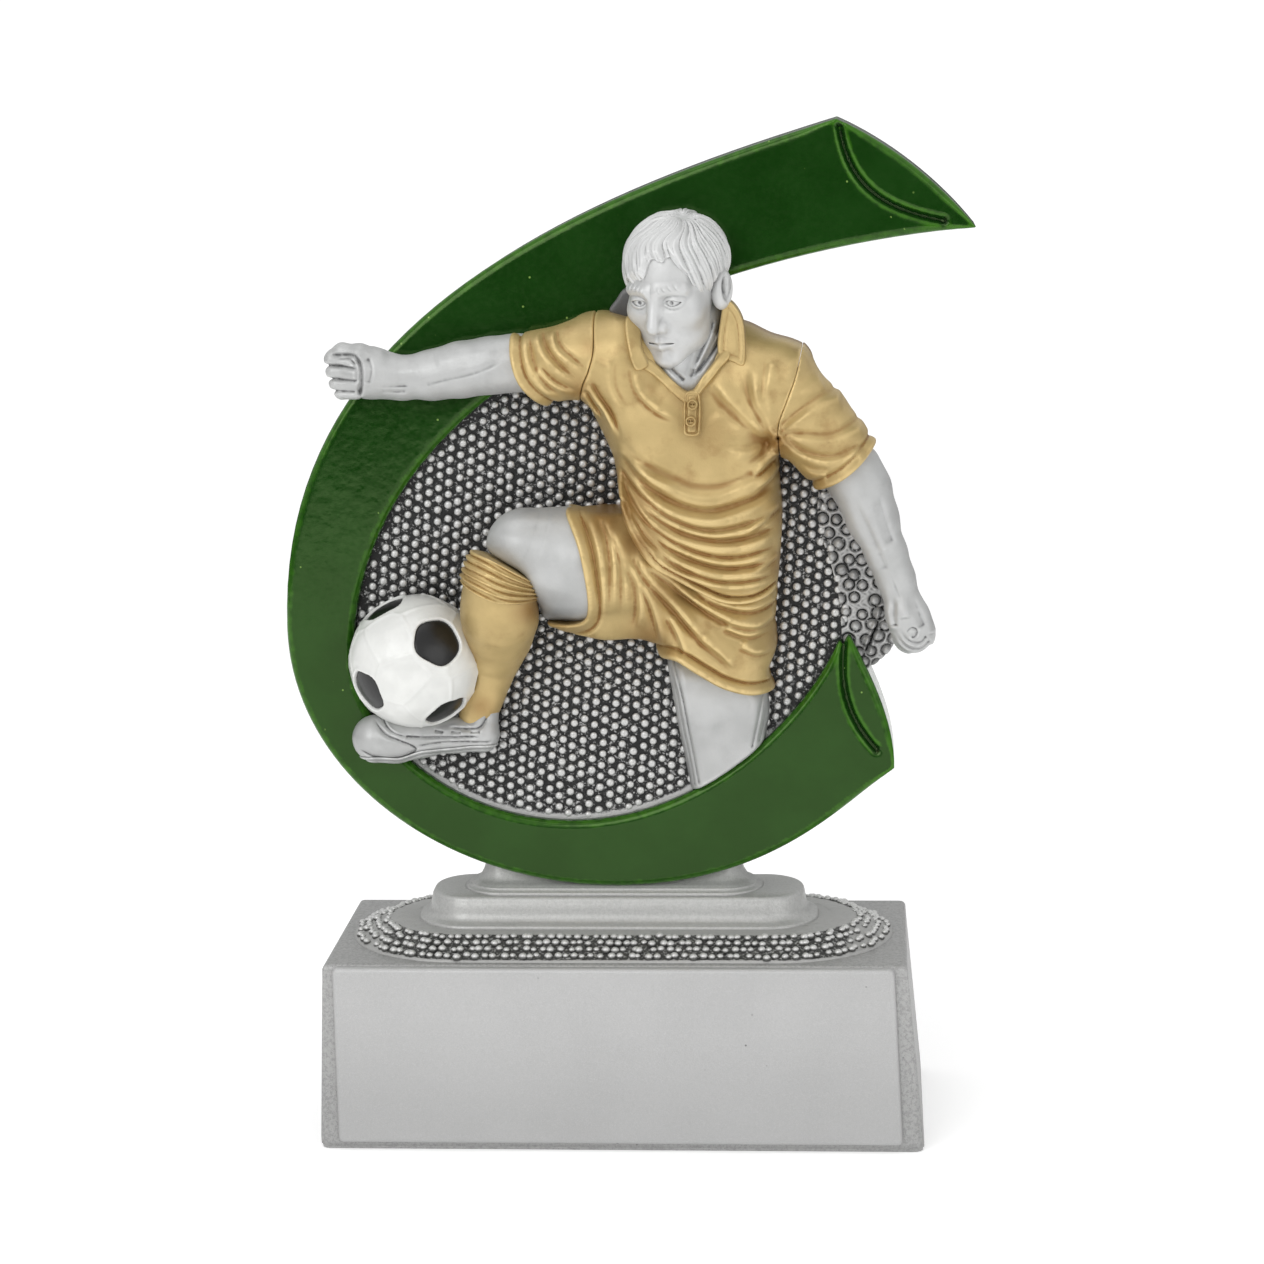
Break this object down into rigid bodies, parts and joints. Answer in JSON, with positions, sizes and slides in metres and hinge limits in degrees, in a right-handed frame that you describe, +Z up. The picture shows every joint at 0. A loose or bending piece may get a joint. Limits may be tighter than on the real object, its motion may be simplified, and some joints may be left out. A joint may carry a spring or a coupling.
{
  "type": "football figure trophy",
  "caption": "Cast-resin award: a footballer in high relief with a ball on a beaded disc inside a tapering crescent, on a stepped base with a blank front panel.",
  "frame": {"origin": "centre of the base's underside", "axes": "+Z up along the trophy's height, -Y towards the front that carries the player and the panel, +X to the viewer's right"},
  "size_m": [0.0868, 0.0352, 0.1272],
  "materials": {
    "felt": "matte pressed felt",
    "base_silver": "satin silver paint on cast resin, lightly pitted",
    "panel_silver": "smooth satin silver paint on cast resin",
    "border_graphite": "silver bead tops over a dark wash",
    "plinth_silver": "satin silver paint on cast resin",
    "crescent_green": "deep green enamel over cast resin",
    "disc_graphite": "silver bead tops over a near-black wash",
    "ball_white": "white enamel",
    "ball_black": "black enamel",
    "skin_silver": "pearl silver paint with a grey wash in the creases",
    "hair_silver": "pearl silver paint with a grey wash in the strands",
    "kit_gold": "satin gold paint with a brown wash in the folds",
    "boot_silver": "pearl silver paint with a grey wash in the seams"
  },
  "bodies": {
    "root": {"felt_pad": "felt", "base_block": "base_silver", "front_panel": "panel_silver", "beaded_border": "border_graphite", "plinth_step": "plinth_silver", "plinth_neck": "plinth_silver", "crescent": "crescent_green", "beaded_disc": "disc_graphite", "hand_web": "disc_graphite", "ball": "ball_white", "ball_patches": "ball_black", "head": "skin_silver", "hair": "hair_silver", "throat": "skin_silver", "shirt_body": "kit_gold", "collar": "kit_gold", "button_placket": "kit_gold", "shirt_buttons": "kit_gold", "right_sleeve": "kit_gold", "right_forearm": "skin_silver", "right_fist": "skin_silver", "left_sleeve": "kit_gold", "left_forearm": "skin_silver", "left_hand": "skin_silver", "shorts": "kit_gold", "raised_thigh": "skin_silver", "sock": "kit_gold", "sock_cuff": "kit_gold", "boot_upper": "boot_silver", "boot_sole": "boot_silver", "standing_thigh": "skin_silver"}
  },
  "joints": []
}
